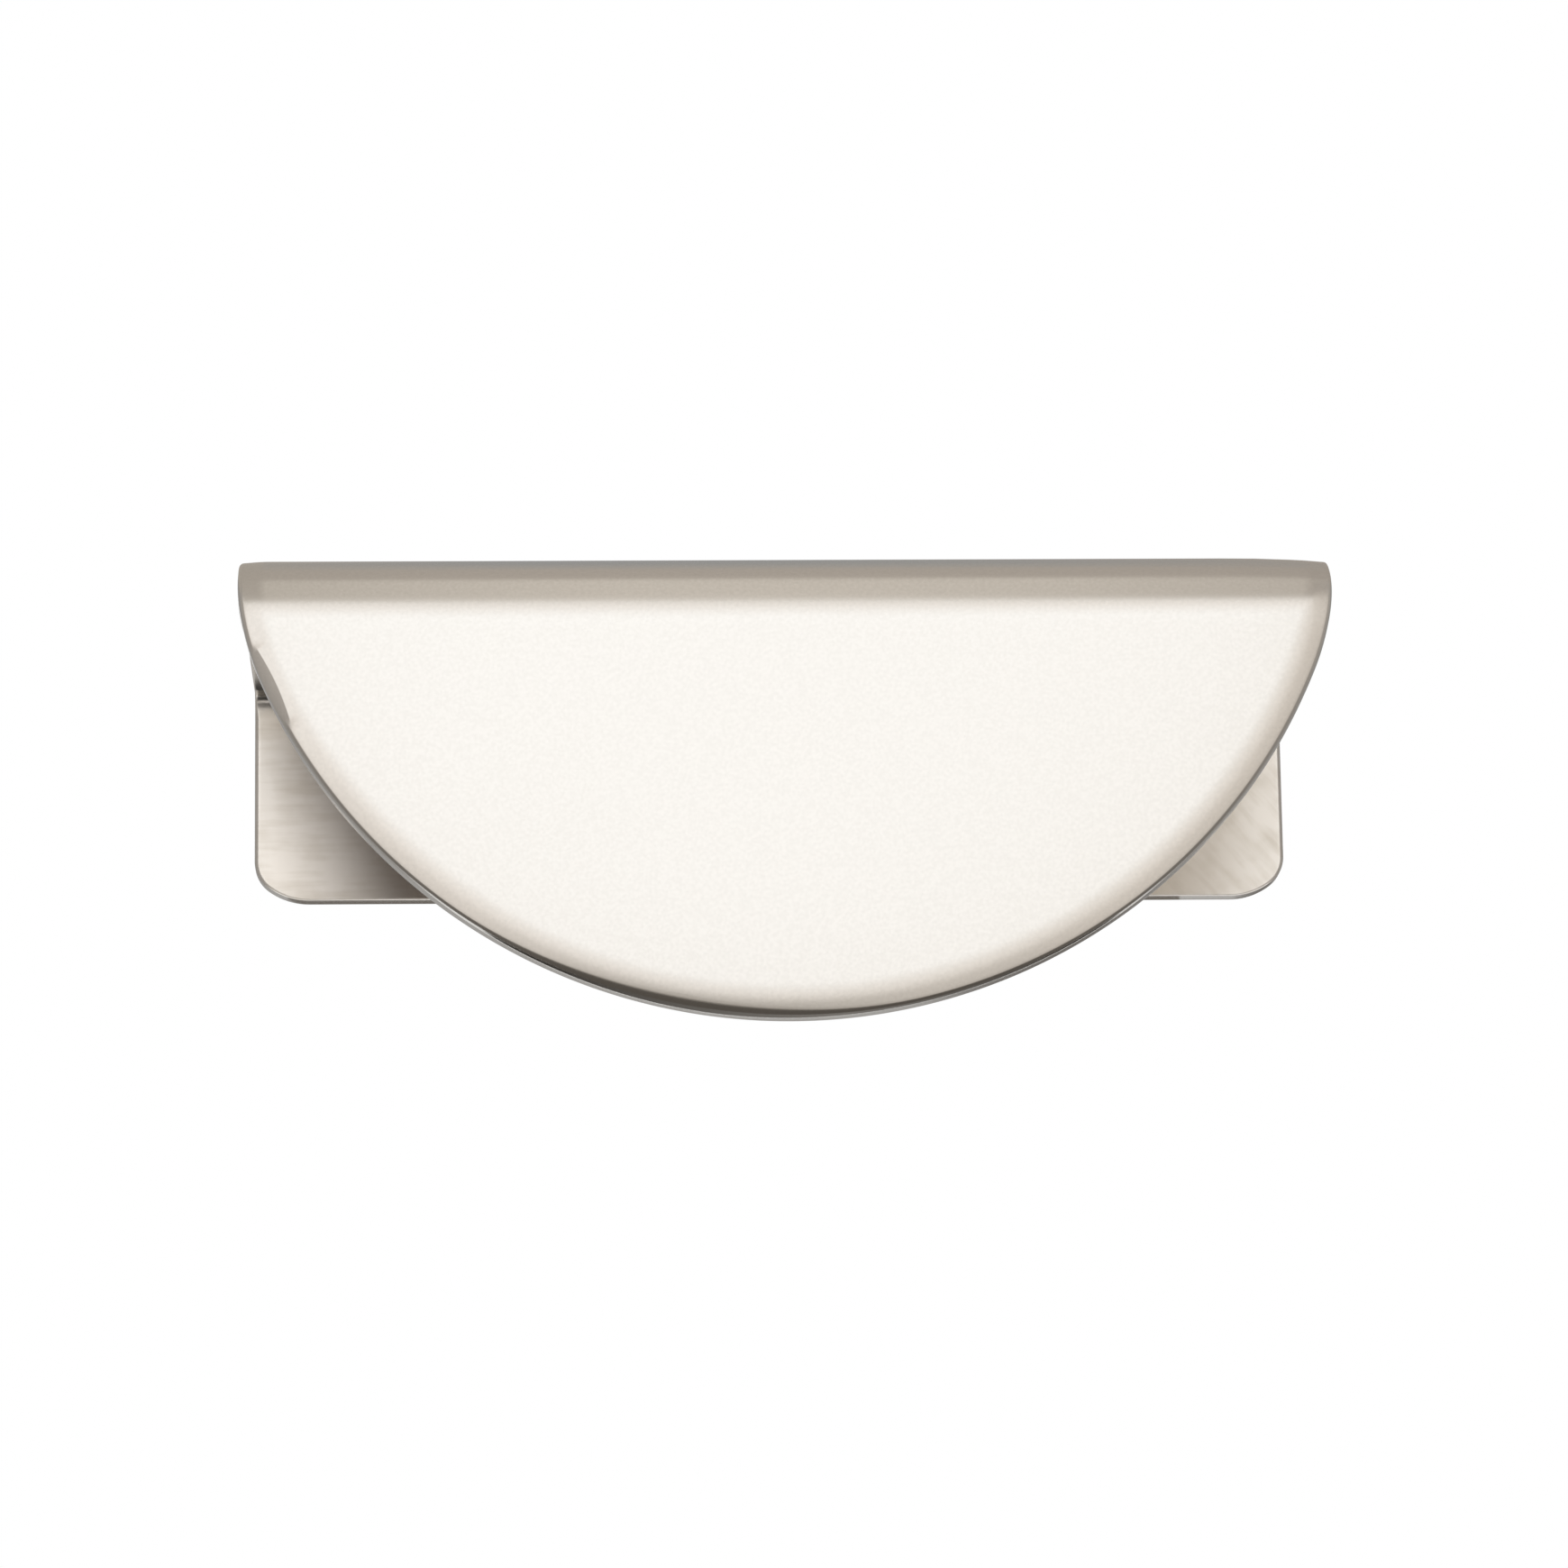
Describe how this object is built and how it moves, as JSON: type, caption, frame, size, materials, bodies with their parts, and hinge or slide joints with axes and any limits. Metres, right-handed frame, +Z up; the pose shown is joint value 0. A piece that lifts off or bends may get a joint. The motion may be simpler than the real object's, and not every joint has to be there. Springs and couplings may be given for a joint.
{
  "type": "tab pull",
  "caption": "Half-moon tab pull folded from sheet metal: a rounded tab in front, a web over the panel's edge and a screw flange behind it.",
  "frame": {"origin": "midway between the two screw holes, on the flange's front face, which seats against the back of the door or drawer front", "axes": "+X along the width, -Y towards the room (the tab's face), +Y towards the inside of the cabinet (the flange's back), +Z up"},
  "size_m": [0.0762, 0.0381, 0.0337],
  "materials": {
    "nickel": "satin nickel plate on the whole sheet"
  },
  "bodies": {
    "root": {"tab_pull": "nickel"}
  },
  "joints": []
}
